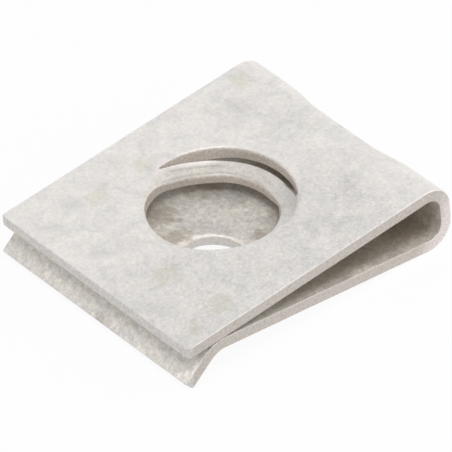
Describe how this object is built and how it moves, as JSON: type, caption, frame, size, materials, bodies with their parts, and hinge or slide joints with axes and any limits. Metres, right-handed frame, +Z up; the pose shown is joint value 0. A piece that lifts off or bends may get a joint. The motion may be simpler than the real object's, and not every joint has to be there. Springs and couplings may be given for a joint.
{
  "type": "u clip nut",
  "caption": "Folded sheet-steel U nut that pushes over a panel's edge and holds a screw in a helical lip.",
  "frame": {"origin": "on the surface that the nut lies on, under the middle of its box", "axes": "+X from the open mouth to the fold, +Y across the width, +Z up; the threaded leg is on top and slopes 4.4 degrees down to the mouth"},
  "size_m": [0.0198, 0.016, 0.0043],
  "materials": {
    "zinc_plate": "dull pale zinc plating, cloudy and finely grained"
  },
  "bodies": {
    "root": {"clip_nut": "zinc_plate"}
  },
  "joints": []
}
